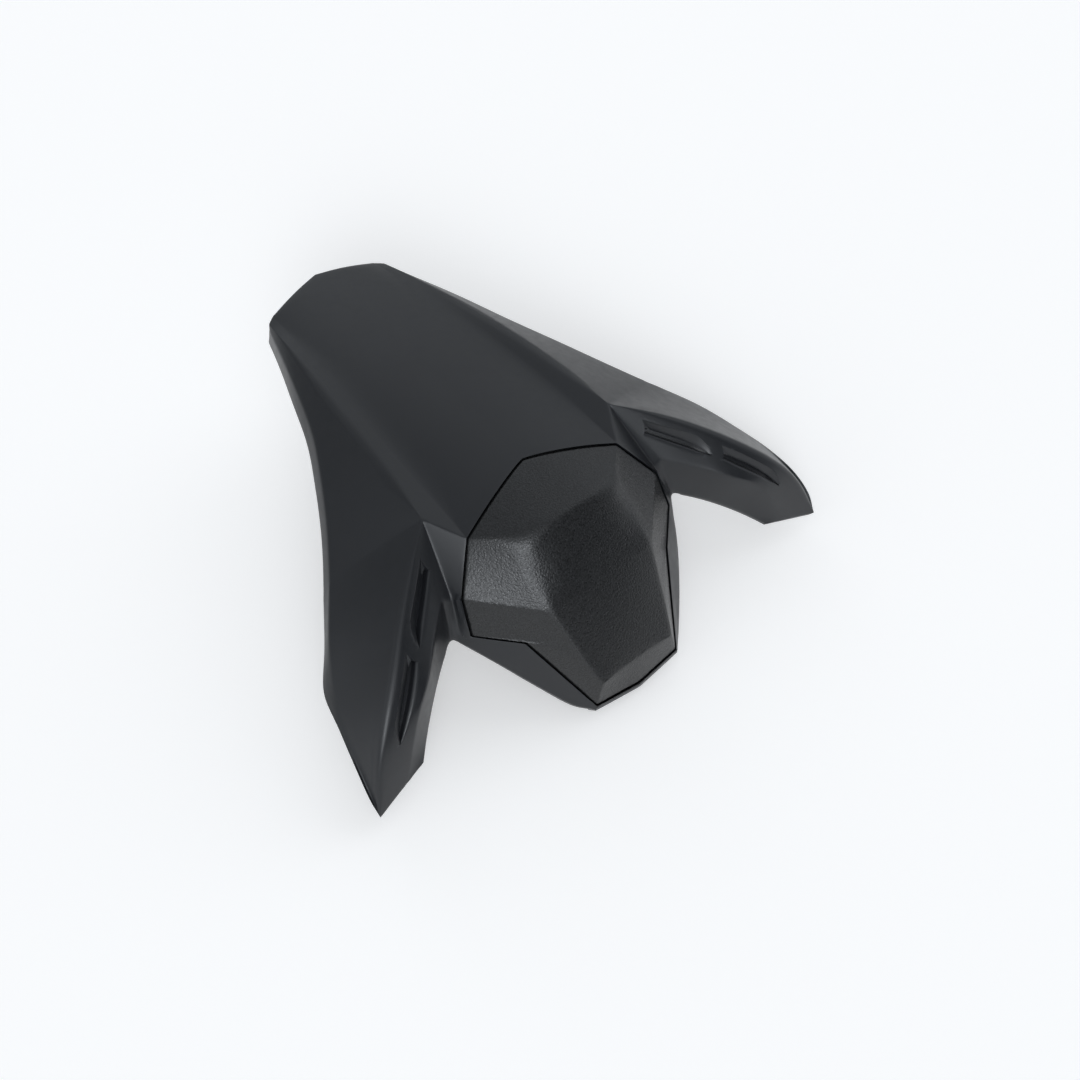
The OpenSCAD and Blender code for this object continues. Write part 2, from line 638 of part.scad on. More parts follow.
// Self-tapping screws: the head sits at z = 0 and the shank points up
module tapping_screw(len) {
    difference() {
        union() {
            translate([0, 0, -head_h]) cylinder(d1 = head_d - 1.2, d2 = head_d, h = head_h);
            cylinder(d = screw_d, h = len - 1.5);
            translate([0, 0, len - 1.5]) cylinder(d1 = screw_d, d2 = 0.8, h = 1.5);
        }
        translate([0, 0, -head_h - 1]) cylinder(d = screw_d * 0.85, h = head_h * 0.6 + 1, $fn = 6);
    }
}
module pan_screws() {
    color("#9a9da2") at_home() at_both(pan_points) translate([0, 0, pan_floor - 0.1]) tapping_screw(pan_t + 8);
}
module insert_screws() {
    color("#9a9da2") at_home() mirror_copy() for (p = insert_points) {
        along_axis(p) translate([0, 0, -wall - 0.7]) tapping_screw(wall + 5);
    }
}

cowl_shell();
backrest_insert();
base_pan();
lock_pin();
lock_pin_washer();
lock_pin_nut();
rear_tongue();
tongue_bolts();
tongue_nuts();
buffer_front_left();
buffer_front_right();
buffer_rear_left();
buffer_rear_right();
wing_pad_left();
wing_pad_right();
pan_screws();
insert_screws();
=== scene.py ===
"""Looks of the seat cowl. Sizes are in millimetres from midway between the kinks, as in the CAD
source, until placed() puts them in the row's frame in metres."""
import json
import math
import bpy
import numpy as np
from mathutils import Matrix, Vector
from mathutils.bvhtree import BVHTree
from mathutils.kdtree import KDTree


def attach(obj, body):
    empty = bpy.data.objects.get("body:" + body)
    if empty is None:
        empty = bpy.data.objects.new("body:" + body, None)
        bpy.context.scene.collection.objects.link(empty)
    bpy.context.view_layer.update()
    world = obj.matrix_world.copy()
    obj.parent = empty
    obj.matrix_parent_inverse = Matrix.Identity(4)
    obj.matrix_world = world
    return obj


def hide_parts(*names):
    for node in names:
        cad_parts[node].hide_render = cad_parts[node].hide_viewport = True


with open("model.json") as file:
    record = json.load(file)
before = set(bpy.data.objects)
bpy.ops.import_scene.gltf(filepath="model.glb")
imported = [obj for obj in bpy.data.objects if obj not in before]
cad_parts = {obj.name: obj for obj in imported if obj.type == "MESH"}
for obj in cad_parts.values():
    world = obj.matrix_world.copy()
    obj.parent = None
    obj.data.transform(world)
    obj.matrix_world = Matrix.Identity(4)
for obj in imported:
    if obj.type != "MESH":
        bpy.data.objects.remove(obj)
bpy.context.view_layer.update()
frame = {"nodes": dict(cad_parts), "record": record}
HOME = np.array([0.0, -62.0, 35.3])

# Camera
CAMERA_AT, LENS, SENSOR = (-0.3961, -0.5604, 0.7636), 53.333, 36.0
look = Vector((0.3955, 0.4771, -0.7848)).normalized()
right = look.cross(Vector((0, 0, 1))).normalized()
above = right.cross(look)
cam_data = bpy.data.cameras.new("camera")
cam_data.sensor_width = SENSOR
cam_data.lens = LENS
cam_data.clip_start = 0.01
camera = bpy.data.objects.new("camera", cam_data)
bpy.context.scene.collection.objects.link(camera)
camera.matrix_world = Matrix((
    (right.x, above.x, -look.x, CAMERA_AT[0]),
    (right.y, above.y, -look.y, CAMERA_AT[1]),
    (right.z, above.z, -look.z, CAMERA_AT[2]),
    (0, 0, 0, 1)))
bpy.context.scene.camera = camera
bpy.context.scene.view_settings.view_transform = "Standard"


# Plain vector help
def V(*a):
    return np.array(a, float)


def mix(a, b, t):
    return a + (b - a) * t


def mix3(a, b, f):
    return a + (b - a) * V(*f)


def unit(v):
    return v / max(np.linalg.norm(v), 1e-9)


def ramp(x, lo, hi):
    t = min(1, max(0, (x - lo) / (hi - lo)))
    return t * t * (3 - 2 * t)


def arc(a, b, c, t):
    return mix(mix(a, b, t), mix(b, c, t), t)


def hump(a, c, lift, t):
    return mix(a, c, t) + 4 * t * (1 - t) * V(*lift)


def spline(p, t):
    n = len(p) - 1
    i = min(n - 1, int(t * n))
    s = t * n - i
    b, c = p[i], p[i + 1]
    a = p[i - 1] if i > 0 else 2 * b - c
    d = p[i + 2] if i < n - 1 else 2 * c - b
    square, cube = 2 * a - 5 * b + 4 * c - d, 3 * b - a - 3 * c + d
    return 0.5 * (2 * b + (c - a) * s + square * s * s + cube * s ** 3)


# Sizes, as in the CAD source
DECK_LEN, DECK_W, TAIL_W = 216, 145, 93
WALL, RIDGE_R, WING_R = 3.0, 13.0, 4.0
TAIL_LIP, LIP_DROP, LIP_FLARE = 15, 8, 4
PAD_GAP, RECESS, LEDGE, INSERT_WALL = 1.2, 9.0, 10.0, 3.0
SKIN_DEPTH = WALL * 1.15  # along the slanting way from the outer skin to the inner one
kink = V(DECK_W / 2, 0, 0)
tail_apex = V(0, DECK_LEN, -1)
tail_corner = V(TAIL_W / 2, DECK_LEN - 13, -9)
pad_apex = V(0, -3.6, 5.3)
pad_upper = V(58.5, -24, -5.6)
pad_side = V(77.5, -41.6, -31)
pad_lower = pad_side + V(2.6, -11.2, -23.5)
pad_turn = V(57.35, -76, -57)
pad_foot = V(33, -115.5, -103)
pad_base = V(0, -118, -106)
cheek_mid = pad_side + V(2.6, 6.3, -2.4)
cheek_out = pad_side + V(9.2, 6.6, 0)
crotch = pad_side + V(10.9, -3.2, -25.4)
tip = V(180, -92, -104)
wing_heel = tip + V(-38.6, 8, 11)
wing_end = mix(wing_heel, tip, 0.38)
flank = kink + V(55, 22, -34)


def lip_at(t):
    return mix(V(1, 2, 3 - TAIL_LIP), V(LIP_FLARE, 2, -LIP_DROP), ramp(t, 0, 0.35))


CREASE = [mix3(cheek_out, wing_end, f) for f in [
    (0, 0, 0), (0.25, 0.29, 0.11), (0.50, 0.60, 0.235), (0.74, 0.80, 0.43), (1, 1, 1)]]
RIDGE = [mix3(kink, tip, f) for f in [
    (0, 0, 0), (0.17, 0.16, 0.065), (0.34, 0.325, 0.15), (0.49, 0.48, 0.245), (0.63, 0.625, 0.352),
    (0.76, 0.745, 0.475), (0.87, 0.85, 0.62), (0.95, 0.93, 0.80), (1, 1, 1)]]
OUTER = [mix3(flank, tip, f) for f in [
    (0, 0, 0), (0.40, 0.23, 0.19), (0.68, 0.45, 0.38), (0.87, 0.68, 0.545), (0.965, 0.87, 0.745), (1, 1, 1)]]
EDGE = [mix3(flank + lip_at(1), tip, f) for f in [
    (0, 0, 0), (0.38, 0.22, 0.20), (0.72, 0.39, 0.40), (0.86, 0.60, 0.46), (0.97, 0.80, 0.60),
    (1.02, 0.93, 0.80), (1, 1, 1)]]
FLANK = [mix3(tail_corner + V(2, -3, -2), flank, f) for f in [
    (0, 0, 0), (0.20, 0.28, -0.12), (0.38, 0.52, -0.05), (0.58, 0.70, 0.21), (0.78, 0.855, 0.56), (1, 1, 1)]]


def wing_low(t):
    return hump(crotch, wing_heel, (0, 2, 3.5), t)


def deck_crown(t):
    return hump(tail_apex, pad_apex, (0, 0, 4), t)


def deck_valley(t):
    return hump(mix(tail_apex, tail_corner, 0.9) + V(-0.5, 2.2, 0.4), pad_upper, (0, 2, 8), t)


def deck_ridge(t):
    return hump(tail_corner, kink, (1.8, -1, 8), t)


def steps(length, n):
    """Shares of a leg, crowded at both ends, so that the rounding of edges has points to work on."""
    ends = [0.8, 2.2] if n < 8 else [0.6, 1.5, 2.8] if n < 12 else [0.5, 1.2, 2.2, 3.5]
    ends = np.array(ends)
    ends = ends / length * min(1, 0.42 * length / ends[-1])
    inside = np.linspace(ends[-1], 1 - ends[-1], n + 1 - 2 * len(ends))[1:-1]
    return [0.0, *ends, *inside, *(1 - ends[::-1]), 1.0]


def more(a, b, n):
    return [mix(a, b, t) for t in steps(max(np.linalg.norm(b - a), 0.01), n)[1:]]


def toward(a, b, r):
    return a + unit(b - a) * r


def round_off(a, corner, b, r, n):
    return [arc(toward(corner, a, r), corner, toward(corner, b, r), k / n) for k in range(1, n + 1)]


N_DECK, N_WING, N_CROWN, N_VALLEY, N_BAND, N_RIDGE = 66, 64, 14, 6, 12, 8
N_FLANK, N_LIP, N_LOW, N_FACE, N_STEP = 16, 9, 13, 17, 9
N_TURN, N_FOOT, N_BASE = 13, 20, 13
FACE_STEPS, LOW_STEPS = steps(40, N_FACE), steps(26, N_LOW)


def swell(t):
    return ramp(t, 0, 0.4) * (1 - ramp(t, 0.8, 1))


def deck_section(t):
    a, v, k, f = deck_crown(t), deck_valley(t), deck_ridge(t), spline(FLANK, t)
    r = RIDGE_R * 0.5 * swell(t)
    v1, v2, k1 = toward(v, a, r), toward(v, k, r * 0.6), toward(k, v, r * 0.6)
    bow = (0, 0, (a[2] - v[2]) / 4)
    return ([hump(a, v1, bow, i / N_CROWN) for i in range(N_CROWN + 1)]
            + [arc(v1, v, v2, i / N_VALLEY) for i in range(1, N_VALLEY + 1)]
            + more(v2, k1, N_BAND)
            + [arc(k1, k, toward(k, f, r), i / N_RIDGE) for i in range(1, N_RIDGE + 1)]
            + more(toward(k, f, r), f, N_FLANK)
            + more(f, f + lip_at(t), N_LIP))


def wing_share(s):
    """Crowds the sections of the wing towards its tip, where it curves the most."""
    return 1 - (1 - s) ** 1.25


def wing_section(t):
    low, c, k, f = wing_low(t), spline(CREASE, t), spline(RIDGE, t), spline(OUTER, t)
    r = WING_R * ramp(t, 0, 0.2) * (1 - ramp(t, 0.9, 1))
    return ([mix(low, c, u) for u in LOW_STEPS] + [mix(c, toward(k, c, r), u) for u in FACE_STEPS[1:]]
            + round_off(c, k, f, r, N_RIDGE) + more(toward(k, f, r), f, N_FLANK)
            + more(f, spline(EDGE, t), N_LIP))


deck_grid = [deck_section(t) for t in steps(DECK_LEN, N_DECK)]
wing_grid = [wing_section(wing_share(s)) for s in steps(120, N_WING)]
deck_front, tail_edge = deck_grid[-1], deck_grid[0]
I_UPPER, I_KINK = N_CROWN, N_CROWN + N_VALLEY + N_BAND
I_FLANK = I_KINK + N_RIDGE
cheek_a = [[mix(kink, cheek_mid, t)] + more(mix(kink, cheek_mid, t), mix(pad_upper, pad_side, t), N_BAND)
           for t in FACE_STEPS]
cheek_b = [[mix(kink, cheek_out, t)] + more(mix(kink, cheek_out, t), mix(kink, cheek_mid, t), N_STEP)
           for t in FACE_STEPS]
cheek_top = cheek_b[-1] + more(cheek_mid, pad_side, N_BAND)
N_CHEEK = len(cheek_top) - 1
cheek_foot = [crotch] + more(crotch, pad_lower, N_CHEEK)
cheek_c = [[mix(cheek_top[j], cheek_foot[j], t) for j in range(N_CHEEK + 1)] for t in LOW_STEPS]
opening_low = ([pad_lower] + more(pad_lower, pad_turn, N_TURN) + more(pad_turn, pad_foot, N_FOOT)
               + more(pad_foot, pad_base, N_BASE))
chin_foot = pad_foot + V(1.5, 0.5, -2.5)
CHIN = [crotch, mix3(crotch, chin_foot, (0.29, 0.36, 0.29)), mix3(crotch, chin_foot, (0.56, 0.635, 0.62)),
        mix3(crotch, chin_foot, (0.82, 0.86, 0.935)), chin_foot]
chin_edge = ([spline(CHIN, min(1, i / (N_TURN + N_FOOT))) for i in range(N_TURN + N_FOOT + 1)]
             + more(chin_foot, pad_base + V(0, 0.8, -3), N_BASE))
chin_grid = [[opening_low[i]] + more(opening_low[i], chin_edge[i], N_CHEEK) for i in range(len(chin_edge))]
N_DROP = N_FLANK + N_LIP
drop = steps(TAIL_LIP, N_DROP)
tail_grid = []
for i in range(N_DROP + 1):
    row = []
    for j in range(I_KINK + 1):
        side = tail_edge[I_FLANK + i] - tail_edge[I_FLANK]
        row.append(tail_edge[j] + mix(V(0, 1.5, -TAIL_LIP) * drop[i], side, (j / I_KINK) ** 3))
    tail_grid.append(row)
opening = (deck_front[:I_UPPER + 1] + [mix(pad_upper, pad_side, t) for t in FACE_STEPS[1:]]
           + [mix(pad_side, pad_lower, t) for t in LOW_STEPS[1:]] + opening_low[1:])


def inward(p):
    back = ramp(p[1], 0, 90)
    x = -0.4 * back * p[0] / 50 - 0.5 * (1 - back) * ramp(p[0], 125, 180)
    y = 0.6 * (1 - back) - 0.65 * ramp(p[1], 120, DECK_LEN)
    return unit(V(x, y, -0.8))


def inner(p, depth=SKIN_DEPTH):
    return p + inward(p) * depth


# Faces run counter-clockwise seen from outside
def sheet(g):
    return [(g[i][j], g[i + 1][j], g[i + 1][j + 1], g[i][j + 1])
            for i in range(len(g) - 1) for j in range(len(g[0]) - 1)]


def turned(faces):
    return [f[::-1] for f in faces]


def mirrored(faces):
    return [tuple(p * V(-1, 1, 1) for p in f[::-1]) for f in faces]


def strip(loops):
    return sheet([list(r) for r in zip(*loops)])


def rim(edge):
    return strip([[mix(p, inner(p), t) for p in edge] for t in (0, 0.1, 0.3, 0.7, 0.9, 1)])


def column(g, j):
    return [r[j] for r in g]


WELD, WELD_SHIFT = 2e-4, 0.371  # the shift keeps round values away from a cell's border


def to_mesh(faces):
    """Welds the corners of faces in millimetres, and returns points and polygons."""
    index, points, polys = {}, [], []
    for f in faces:
        ids = []
        for p in f:
            key = tuple(np.floor(p / WELD + WELD_SHIFT).astype(int))
            if key not in index:
                index[key] = len(points)
                points.append(p)
            if not ids or ids[-1] != index[key]:
                ids.append(index[key])
        while len(ids) > 1 and ids[0] == ids[-1]:
            ids.pop()
        if len(set(ids)) >= 3:
            polys.append(ids)
    points = np.array(points)
    return points, orient(points, polys)


def orient(points, polys):
    """Turns the faces so that neighbours agree and the whole encloses a positive volume."""
    shared = edge_faces(polys)
    polys = [list(f) for f in polys]
    seen = [False] * len(polys)
    for first in range(len(polys)):
        if seen[first]:
            continue
        seen[first] = True
        todo, group = [first], [first]
        while todo:
            i = todo.pop()
            f = polys[i]
            for a, b in zip(f, f[1:] + f[:1]):
                for j in shared[(min(a, b), max(a, b))]:
                    if not seen[j]:
                        g = polys[j]
                        k = g.index(a)
                        if g[(k + 1) % len(g)] == b:
                            g.reverse()
                        seen[j] = True
                        todo.append(j)
                        group.append(j)
        volume = sum(points[polys[i][0]] @ np.cross(points[polys[i][k]], points[polys[i][k + 1]])
                     for i in group for k in range(1, len(polys[i]) - 1))
        if volume < 0:
            for i in group:
                polys[i].reverse()
    return polys


def face_normals(points, polys):
    out = np.zeros((len(polys), 3))
    for i, f in enumerate(polys):
        p = points[f]
        q = np.roll(p, -1, axis=0)
        out[i] = np.cross(p, q).sum(0)
    return out / np.maximum(np.linalg.norm(out, axis=1), 1e-12)[:, None]


def edge_faces(polys):
    out = {}
    for i, f in enumerate(polys):
        for a, b in zip(f, f[1:] + f[:1]):
            out.setdefault((min(a, b), max(a, b)), []).append(i)
    return out


def relax(points, polys, amount, rounds, cap):
    """Moves each point towards its neighbours' middle, by its own amount, and never further than its cap."""
    pairs = np.array(list(edge_faces(polys)))
    start, now = points.copy(), points.copy()
    count = np.zeros(len(points))
    np.add.at(count, pairs[:, 0], 1)
    np.add.at(count, pairs[:, 1], 1)
    for _ in range(rounds):
        total = np.zeros_like(now)
        np.add.at(total, pairs[:, 0], now[pairs[:, 1]])
        np.add.at(total, pairs[:, 1], now[pairs[:, 0]])
        now = now + (total / count[:, None] - now) * amount[:, None]
        move = now - start
        size = np.linalg.norm(move, axis=1)
        keep = np.minimum(1, cap / np.maximum(size, 1e-9))
        now = start + move * keep[:, None]
    return now


def crease_points(points, polys, angle):
    normals = face_normals(points, polys)
    found = []
    for (a, b), fs in edge_faces(polys).items():
        if len(fs) == 2 and normals[fs[0]] @ normals[fs[1]] < math.cos(math.radians(angle)):
            n = max(1, int(np.linalg.norm(points[a] - points[b]) / 0.6))
            found += [mix(points[a], points[b], k / n) for k in range(n + 1)]
    return found


def near(points, spots, radius):
    """1 on the spots, falling to 0 at the radius."""
    tree = KDTree(len(spots))
    for i, p in enumerate(spots):
        tree.insert(p, i)
    tree.balance()
    d = np.array([tree.find(p)[2] for p in points])
    return np.clip(1 - d / radius, 0, 1)


HARD_REACH = 3.0


def soften_edges(points, polys, angle=9, radius=1.3, cap=0.35, rounds=5, hard=None, hard_cap=0.3):
    """Rounds the creases. Close to the hard points the rounding stays small."""
    w = near(points, crease_points(points, polys, angle), radius)
    limit = np.full(len(points), cap)
    if hard is not None:
        limit = mix(cap, hard_cap, near(points, hard, HARD_REACH))
    return relax(points, polys, 0.5 * (w > 0.05), rounds, limit * (w > 0.05))


def new_object(name, points, polys):
    mesh = bpy.data.meshes.new(name)
    mesh.from_pydata([tuple(p) for p in (points + HOME) / 1000], [], polys)
    mesh.update()
    obj = bpy.data.objects.new(name, mesh)
    bpy.context.scene.collection.objects.link(obj)
    return obj


def combine(obj, other, how):
    mod = obj.modifiers.new("cut", "BOOLEAN")
    mod.operation = how
    mod.object = other
    mod.solver = "MANIFOLD"
    deps = bpy.context.evaluated_depsgraph_get()
    mesh = bpy.data.meshes.new_from_object(obj.evaluated_get(deps))
    obj.modifiers.clear()
    old = obj.data
    obj.data = mesh
    bpy.data.meshes.remove(old)
    bpy.data.objects.remove(other)


def shade(obj, angle):
    mesh = obj.data
    mesh.shade_smooth()
    mesh.set_sharp_from_angle(angle=math.radians(angle))


# Shell
outer_half = (sheet(deck_grid) + sheet(wing_grid) + turned(sheet(cheek_a)) + turned(sheet(cheek_b))
              + turned(sheet(cheek_c)) + sheet(chin_grid) + turned(sheet(tail_grid)))
rim_half = (turned(rim(column(deck_grid, -1))) + turned(rim(column(wing_grid, -1)))
            + rim(column(wing_grid, 0)) + rim(wing_grid[-1]) + rim(opening) + turned(rim(chin_edge))
            + turned(rim(tail_grid[-1])))
skin_half = outer_half + [tuple(inner(p) for p in f[::-1]) for f in outer_half] + rim_half
points, polys = to_mesh(skin_half + mirrored(skin_half))
rims = [opening, chin_edge, column(deck_grid, -1), column(wing_grid, -1), column(wing_grid, 0), wing_grid[-1],
        tail_grid[-1]]
rims = [q * V(side, 1, 1) for e in rims for p in e for q in (p, inner(p)) for side in (-1, 1)]
CROTCH_RADIUS, CROTCH_MOVE = 9, 2.6
roots = [(crotch + V(1, 0, -1) + v) * V(side, 1, 1) for side in (-1, 1) for v in (0, V(0, 3, -2))]
w = near(points, roots, CROTCH_RADIUS)
points = relax(points, polys, 0.5 * w, 60, CROTCH_MOVE * w)
points = soften_edges(points, polys, angle=6, radius=3.6, cap=0.9, rounds=18,
                      hard=rims, hard_cap=0.35)
skin = new_object("cowl_skin", points, polys)

# Recess behind the opening. It runs along the axis, and insets go towards the heart
TILT = math.radians(45)
axis = V(0, math.sin(TILT), -math.cos(TILT))
heart = V(0, -65, -55)


def inset(p, r):
    return p + unit(heart - p) * r


def both(v):
    return v + [p * V(-1, 1, 1) for p in v[-2:0:-1]]


loop = both(opening)
rings = [[inset(p, -0.7) + axis * 0.9 for p in loop], [p + axis * RECESS for p in loop],
         [inset(p, LEDGE) + axis * RECESS for p in loop],
         [inset(p, LEDGE) + axis * (RECESS + WALL) for p in loop],
         [inset(p, -WALL) + axis * (RECESS + WALL) for p in loop],
         [inset(inner(p, WALL), -0.8 * WALL) for p in loop]]
recess = []
for k in range(len(rings)):
    a, b = rings[k], rings[(k + 1) % len(rings)]
    for i in range(len(loop)):
        j = (i + 1) % len(loop)
        recess.append((a[i], b[i], b[j], a[j]))
recess_points, recess_polys = to_mesh(recess)

# Insert: facets run from its rim to a middle field, the dish, which is slightly crowned
N_INSET, RIM_GAP = 14, PAD_GAP * 1.1
dish_top, dish_top_mid = V(35, -48, -1.5), V(0, -49.2, 0.4)
dish_low, dish_foot, dish_foot_mid = V(39.6, -79.2, -37), V(28.8, -114.2, -84.5), V(0, -113.9, -82)
DISH_CROWN = 3.0
pad_rim = [inset(p, RIM_GAP) for p in opening]
N_BEND = len(opening) - 1 - N_CROWN - N_FACE - N_BASE


def across(middle, side, t):
    """A point of the dish between its middle and its side, crowned and level in the middle."""
    return V(side[0] * t, *mix(middle[1:], side[1:], t * t))


crest = [across(dish_top_mid, dish_top, i / N_CROWN) for i in range(N_CROWN + 1)]
dish_side = [dish_top] + more(dish_top, dish_low, N_FACE) + more(dish_low, dish_foot, N_BEND)
dish_end = [across(dish_foot_mid, dish_foot, t) for t in steps(29, N_BASE)]
rim_inside = crest + dish_side[1:] + dish_end[-2::-1]
facing = [[pad_rim[i]] + more(pad_rim[i], rim_inside[i], N_INSET) for i in range(len(opening))]
N_SIDE = len(dish_side) - 1
dish = []
length = np.cumsum([0] + [np.linalg.norm(dish_side[i + 1] - dish_side[i]) for i in range(N_SIDE)])
for i in range(N_SIDE + 1):
    t = length[i] / length[-1]
    m = mix(dish_top_mid, dish_foot_mid, t) - axis * DISH_CROWN * 4 * t * (1 - t)
    if i == 0:
        dish.append(crest)
    elif i == N_SIDE:
        dish.append(dish_end)
    else:
        dish.append([across(m, dish_side[i], k / N_CROWN) for k in range(N_CROWN + 1)])


def insert_front():
    """The facets and the dish, whose last row has points of its own."""
    faces = turned(sheet(facing)) + sheet(dish[:-1])
    a, b = dish[-2:]
    i = j = 0
    while i < len(a) - 1 or j < len(b) - 1:
        if j == len(b) - 1 or (i < len(a) - 1 and (i + 1) / (len(a) - 1) <= (j + 1) / (len(b) - 1)):
            faces.append((a[i], b[j], a[i + 1]))
            i += 1
        else:
            faces.append((a[i], b[j], b[j + 1]))
            j += 1
    return faces


INSERT_EDGE = INSERT_WALL * 0.9


def under(p):
    return inset(p, INSERT_EDGE) + axis * INSERT_WALL


front = insert_front()
foot = axis * (RECESS - 0.3)
levels = [[p + foot * t for p in pad_rim] for t in (0, 0.04, 0.12, 0.5, 1)]
heel = [inset(p, INSERT_EDGE) + foot for p in pad_rim]
walls = turned(strip(levels + [heel, [under(p) for p in pad_rim]]))
insert_half = front + [tuple(under(p) for p in f[::-1]) for f in front] + walls
points, polys = to_mesh(insert_half + mirrored(insert_half))
# The fold beside the dish is wide and soft at the top, and tighter lower down
FOLD_PARTS, FOLD_RADIUS, FOLD_MOVE = 5, (19, 8), (2.2, 0.8)
CREST_RADIUS, CREST_MOVE = 6, 0.9


def spots_along(a, b, n):
    return [mix(a, b, k / n) * V(s, 1, 1) for k in range(n + 1) for s in (-1, 1)]


for k in range(FOLD_PARTS):
    t = k / (FOLD_PARTS - 1)
    spots = [mix(dish_top, dish_low, (k + j / 8) / FOLD_PARTS) * V(s, 1, 1)
             for j in range(9) for s in (-1, 1)]
    w = near(points, spots, mix(*FOLD_RADIUS, t))
    points = relax(points, polys, 0.5 * w, 90, mix(*FOLD_MOVE, t) * w)
spots = spots_along(crest[0], dish_top, 30) + spots_along(dish_foot, dish_foot_mid, 30)
w = near(points, spots, CREST_RADIUS)
points = relax(points, polys, 0.5 * w, 25, CREST_MOVE * w)
points = soften_edges(points, polys, angle=9, radius=1.8, cap=0.4, rounds=6)
insert = new_object("backrest_insert_grained", points, polys)
shade(insert, 50)

# Vents: seen along the face's normal, each is given in a plane of its own by the distance along it
# and the distance across it, towards the ridge. The fin's edge has its depth too.
VENTS = [
    {"corners": [V(84, -18, -7.5), V(110, -37.5, -22.8), V(116, -52.3, -34), V(106, -43.5, -30),
                 V(85, -24.5, -18)],
     "ridge_side": [(-3, 4.2), (14, 5.8), (31, 7.5), (37, 7.1), (43, 4.4), (48.5, 0.5)],
     "crease_side": [(2, -2.6), (14, -2.2), (24, -1.7), (33, -1.2), (40, -1.1), (48.5, -0.6)],
     "fin": [(5.5, 0.3, 3.2), (17, 1.0, 3.3), (28, 1.7, 3.3), (36, 1.7, 3.0), (41, 0.9, 2.0),
             (47.6, -0.1, 0.4)]},
    {"corners": [V(122.3, -51.5, -28.3), V(147, -69.5, -49), V(152.8, -81, -64.2), V(144, -73, -52),
                 V(125, -59.5, -38.5)],
     "ridge_side": [(-3, 3.0), (14, 4.8), (28, 5.4), (39, 5.8), (45, 3.4), (50.5, 0.3)],
     "crease_side": [(2, -3.9), (13, -3.2), (21, -2.5), (32, -1.6), (42, -1.2), (50.5, -0.7)],
     "fin": [(5.5, -0.4, 3.0), (18, 0.9, 3.1), (29, 1.5, 3.0), (39, 1.4, 2.8), (45, 0.6, 1.8),
             (49.6, -0.2, 0.4)]}]
N_ALONG, SLOT_DEPTH = 44, 4.9
SHOULDER, FULL_WIDTH, ABOVE = 2.6, 8, 3
BACKING_STEP, BACKING_OUT, BACKING_WALL = 4, 2.4, 1.8


def placed(p):
    return (np.asarray(p) + HOME) / 1000


tree = BVHTree.FromObject(skin, bpy.context.evaluated_depsgraph_get())


def on_skin(p, n):
    hit = tree.ray_cast(Vector(placed(p + n * 12)), Vector(-n), 0.03)[0]
    return p if hit is None else np.array(hit) * 1000 - HOME


def along(line, u):
    """A point at the share u of a line's length, smooth through its corners."""
    line = np.array(line, float)
    done = np.concatenate([[0], np.cumsum(np.linalg.norm(np.diff(line[:, :2], axis=0), axis=1))])
    done /= done[-1]
    shares = np.clip(u + np.array([-0.035, -0.015, 0, 0.015, 0.035]) * min(1, 12 * u, 12 * (1 - u)), 0, 1)
    return np.mean([[np.interp(v, done, line[:, k]) for k in range(line.shape[1])] for v in shares], axis=0)


def loft(stations):
    """A closed solid through the rings at its stations."""
    faces = []
    for a, b in zip(stations, stations[1:]):
        for i in range(len(a)):
            j = (i + 1) % len(a)
            faces.append((a[i], b[i], b[j], a[j]))
    for ring in (stations[0], stations[-1]):
        mid = sum(ring) / len(ring)
        for i in range(len(ring)):
            faces.append((mid, ring[i], ring[(i + 1) % len(ring)]))
    return faces


def vent_parts(vent):
    c = np.array(vent["corners"])
    centre = c.mean(0)
    n = np.linalg.svd(c - centre)[2][2]
    n = n * np.sign(n @ V(-0.28, -0.8, 0.53))
    start = (c[0] + c[4]) / 2
    way = unit(c[2] - start - n * ((c[2] - start) @ n))
    side = np.cross(n, way)
    side = side * np.sign(side @ (c[1] - c[3]))

    def at(x, y, h):
        return on_skin(start + way * x + side * y, n) + n * h

    pocket, backing = [], []
    for k in range(N_ALONG + 1):
        u = k / N_ALONG
        u = mix(u, 3 * u * u - 2 * u ** 3, 0.35)
        a, b, g = along(vent["ridge_side"], u), along(vent["fin"], u), along(vent["crease_side"], u)
        d = b[2]
        wide = min(1, (a[1] - g[1]) / FULL_WIDTH)
        fin_in = unit(V(a[0] - b[0], a[1] - b[1], 0))[:2]
        low = mix(d + 0.9, SLOT_DEPTH, wide)
        ring = [(a + V(0, 0.45), ABOVE), (a + V(0, 0.45), 0.02), (a + V(0, 0.16), -0.07), (a, -0.3)]
        for f in (0.08, 0.35, 0.65, 0.92):
            ring.append((mix(a, b[:2], f), -0.3 - (d - 0.3) * f))
        ring += [(b[:2], -d - 0.12), (b[:2] + fin_in * 0.05, -d - 0.5), (b[:2] + fin_in * 0.9 * wide, -low)]
        shoulder = SHOULDER * wide
        ring += [(g + V(0, 0.5 * wide), -low), (g + V(0, 0.30 * wide), -1.7 * wide - 0.1),
                 (g, -0.95 * wide - 0.05), (g - V(0, 0.22 * shoulder), -0.42 * wide - 0.03),
                 (g - V(0, 0.5 * shoulder), -0.14 * wide - 0.01),
                 (g - V(0, shoulder + 0.2), 0.03), (g - V(0, shoulder + 0.2), ABOVE)]
        pocket.append([at(q[0], q[1], h) for q, h in ring])
        if k % BACKING_STEP == 0:
            out, floor_at = BACKING_OUT, -SLOT_DEPTH - BACKING_WALL
            backing.append([at(a[0], a[1] + out, -1), at(a[0], a[1] + out * 0.6, floor_at),
                            at(g[0], g[1] - out * 0.6, floor_at), at(g[0], g[1] - out, -1)])
    first, final = backing[0], backing[-1]
    backing = [[p - way * 2.4 for p in first]] + backing + [[p + way * 2.2 for p in final]]
    return loft(pocket), loft(backing)


cuts, fills = zip(*[vent_parts(vent) for vent in VENTS])


